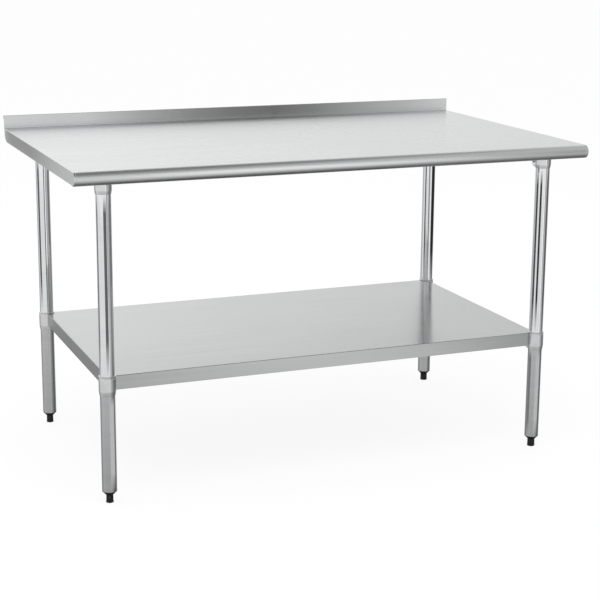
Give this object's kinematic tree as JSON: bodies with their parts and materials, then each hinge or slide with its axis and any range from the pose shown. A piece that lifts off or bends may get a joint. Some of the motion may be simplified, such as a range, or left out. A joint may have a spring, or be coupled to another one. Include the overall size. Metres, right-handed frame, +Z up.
{
  "type": "stainless work table",
  "caption": "Rectangular metal work table with a rolled front edge, a low rear upstand, round legs on levelling feet and an undershelf that slides on the legs.",
  "frame": {"origin": "on the floor, under the middle of the table", "axes": "+X runs along the table to the right seen from the front, +Y points to the rear upstand, +Z is up"},
  "size_m": [1.524, 0.914, 0.975],
  "materials": {
    "brushed_stainless": "finely brushed along the length",
    "polished_stainless": "polished tube",
    "galvanised_steel": "dull galvanised",
    "cast_aluminium": "tumbled casting",
    "zinc_plated_screw": "zinc plated",
    "black_plastic": "moulded, matt"
  },
  "bodies": {
    "table_frame": {"worktop": "brushed_stainless", "top_channel_left": "galvanised_steel", "top_channel_right": "galvanised_steel", "top_channel_long": "galvanised_steel", "leg_socket_front_left": "galvanised_steel", "leg_socket_front_right": "galvanised_steel", "leg_socket_rear_right": "galvanised_steel", "leg_socket_rear_left": "galvanised_steel", "leg_front_left": "polished_stainless", "leg_front_right": "polished_stainless", "leg_rear_right": "polished_stainless", "leg_rear_left": "polished_stainless", "foot_insert_front_left": "black_plastic", "foot_insert_front_right": "black_plastic", "foot_insert_rear_right": "black_plastic", "foot_insert_rear_left": "black_plastic"},
    "sliding_shelf": {"undershelf": "brushed_stainless", "undershelf_channel": "galvanised_steel", "shelf_collar_front_left": "cast_aluminium", "shelf_collar_front_right": "cast_aluminium", "shelf_collar_rear_right": "cast_aluminium", "shelf_collar_rear_left": "cast_aluminium"},
    "socket_screw_front_left": {"socket_screw_front_left": "zinc_plated_screw"},
    "collar_screw_front_left": {"collar_screw_front_left": "zinc_plated_screw"},
    "foot_stud_front_left": {"foot_stud_front_left": "zinc_plated_screw"},
    "foot_front_left": {"foot_front_left": "black_plastic"},
    "socket_screw_front_right": {"socket_screw_front_right": "zinc_plated_screw"},
    "collar_screw_front_right": {"collar_screw_front_right": "zinc_plated_screw"},
    "foot_stud_front_right": {"foot_stud_front_right": "zinc_plated_screw"},
    "foot_front_right": {"foot_front_right": "black_plastic"},
    "socket_screw_rear_right": {"socket_screw_rear_right": "zinc_plated_screw"},
    "collar_screw_rear_right": {"collar_screw_rear_right": "zinc_plated_screw"},
    "foot_stud_rear_right": {"foot_stud_rear_right": "zinc_plated_screw"},
    "foot_rear_right": {"foot_rear_right": "black_plastic"},
    "socket_screw_rear_left": {"socket_screw_rear_left": "zinc_plated_screw"},
    "collar_screw_rear_left": {"collar_screw_rear_left": "zinc_plated_screw"},
    "foot_stud_rear_left": {"foot_stud_rear_left": "zinc_plated_screw"},
    "foot_rear_left": {"foot_rear_left": "black_plastic"}
  },
  "joints": [
    {"name": "undershelf_slide", "type": "slide", "parent": "table_frame", "child": "sliding_shelf", "axis": [0, 0, 1], "range_m": [-0.25, 0.48]},
    {"name": "socket_screw_turn_front_left", "type": "hinge", "parent": "table_frame", "child": "socket_screw_front_left", "pos_m": [-0.664, -0.367, 0.883], "axis": [0.7071, 0.7071, 0], "range_deg": [0, 720]},
    {"name": "collar_screw_turn_front_left", "type": "hinge", "parent": "sliding_shelf", "child": "collar_screw_front_left", "pos_m": [-0.664, -0.367, 0.328], "axis": [0.7071, 0.7071, 0], "range_deg": [0, 720]},
    {"name": "foot_travel_front_left", "type": "slide", "parent": "table_frame", "child": "foot_stud_front_left", "axis": [0, 0, -1], "range_m": [0, 0.02]},
    {"name": "foot_turn_front_left", "type": "hinge", "parent": "foot_stud_front_left", "child": "foot_front_left", "pos_m": [-0.664, -0.367, 0], "axis": [0, 0, -1], "range_deg": [0, 4800]},
    {"name": "socket_screw_turn_front_right", "type": "hinge", "parent": "table_frame", "child": "socket_screw_front_right", "pos_m": [0.664, -0.367, 0.883], "axis": [-0.7071, 0.7071, 0], "range_deg": [0, 720]},
    {"name": "collar_screw_turn_front_right", "type": "hinge", "parent": "sliding_shelf", "child": "collar_screw_front_right", "pos_m": [0.664, -0.367, 0.328], "axis": [-0.7071, 0.7071, 0], "range_deg": [0, 720]},
    {"name": "foot_travel_front_right", "type": "slide", "parent": "table_frame", "child": "foot_stud_front_right", "axis": [0, 0, -1], "range_m": [0, 0.02]},
    {"name": "foot_turn_front_right", "type": "hinge", "parent": "foot_stud_front_right", "child": "foot_front_right", "pos_m": [0.664, -0.367, 0], "axis": [0, 0, -1], "range_deg": [0, 4800]},
    {"name": "socket_screw_turn_rear_right", "type": "hinge", "parent": "table_frame", "child": "socket_screw_rear_right", "pos_m": [0.664, 0.375, 0.883], "axis": [-0.7071, -0.7071, 0], "range_deg": [0, 720]},
    {"name": "collar_screw_turn_rear_right", "type": "hinge", "parent": "sliding_shelf", "child": "collar_screw_rear_right", "pos_m": [0.664, 0.375, 0.328], "axis": [-0.7071, -0.7071, 0], "range_deg": [0, 720]},
    {"name": "foot_travel_rear_right", "type": "slide", "parent": "table_frame", "child": "foot_stud_rear_right", "axis": [0, 0, -1], "range_m": [0, 0.02]},
    {"name": "foot_turn_rear_right", "type": "hinge", "parent": "foot_stud_rear_right", "child": "foot_rear_right", "pos_m": [0.664, 0.375, 0], "axis": [0, 0, -1], "range_deg": [0, 4800]},
    {"name": "socket_screw_turn_rear_left", "type": "hinge", "parent": "table_frame", "child": "socket_screw_rear_left", "pos_m": [-0.664, 0.375, 0.883], "axis": [0.7071, -0.7071, 0], "range_deg": [0, 720]},
    {"name": "collar_screw_turn_rear_left", "type": "hinge", "parent": "sliding_shelf", "child": "collar_screw_rear_left", "pos_m": [-0.664, 0.375, 0.328], "axis": [0.7071, -0.7071, 0], "range_deg": [0, 720]},
    {"name": "foot_travel_rear_left", "type": "slide", "parent": "table_frame", "child": "foot_stud_rear_left", "axis": [0, 0, -1], "range_m": [0, 0.02]},
    {"name": "foot_turn_rear_left", "type": "hinge", "parent": "foot_stud_rear_left", "child": "foot_rear_left", "pos_m": [-0.664, 0.375, 0], "axis": [0, 0, -1], "range_deg": [0, 4800]}
  ],
  "couplings": [
    {"joint": "foot_turn_front_left", "follows": "foot_travel_front_left", "rad_per_m": 4188.8},
    {"joint": "foot_turn_front_right", "follows": "foot_travel_front_right", "rad_per_m": 4188.8},
    {"joint": "foot_turn_rear_right", "follows": "foot_travel_rear_right", "rad_per_m": 4188.8},
    {"joint": "foot_turn_rear_left", "follows": "foot_travel_rear_left", "rad_per_m": 4188.8}
  ]
}
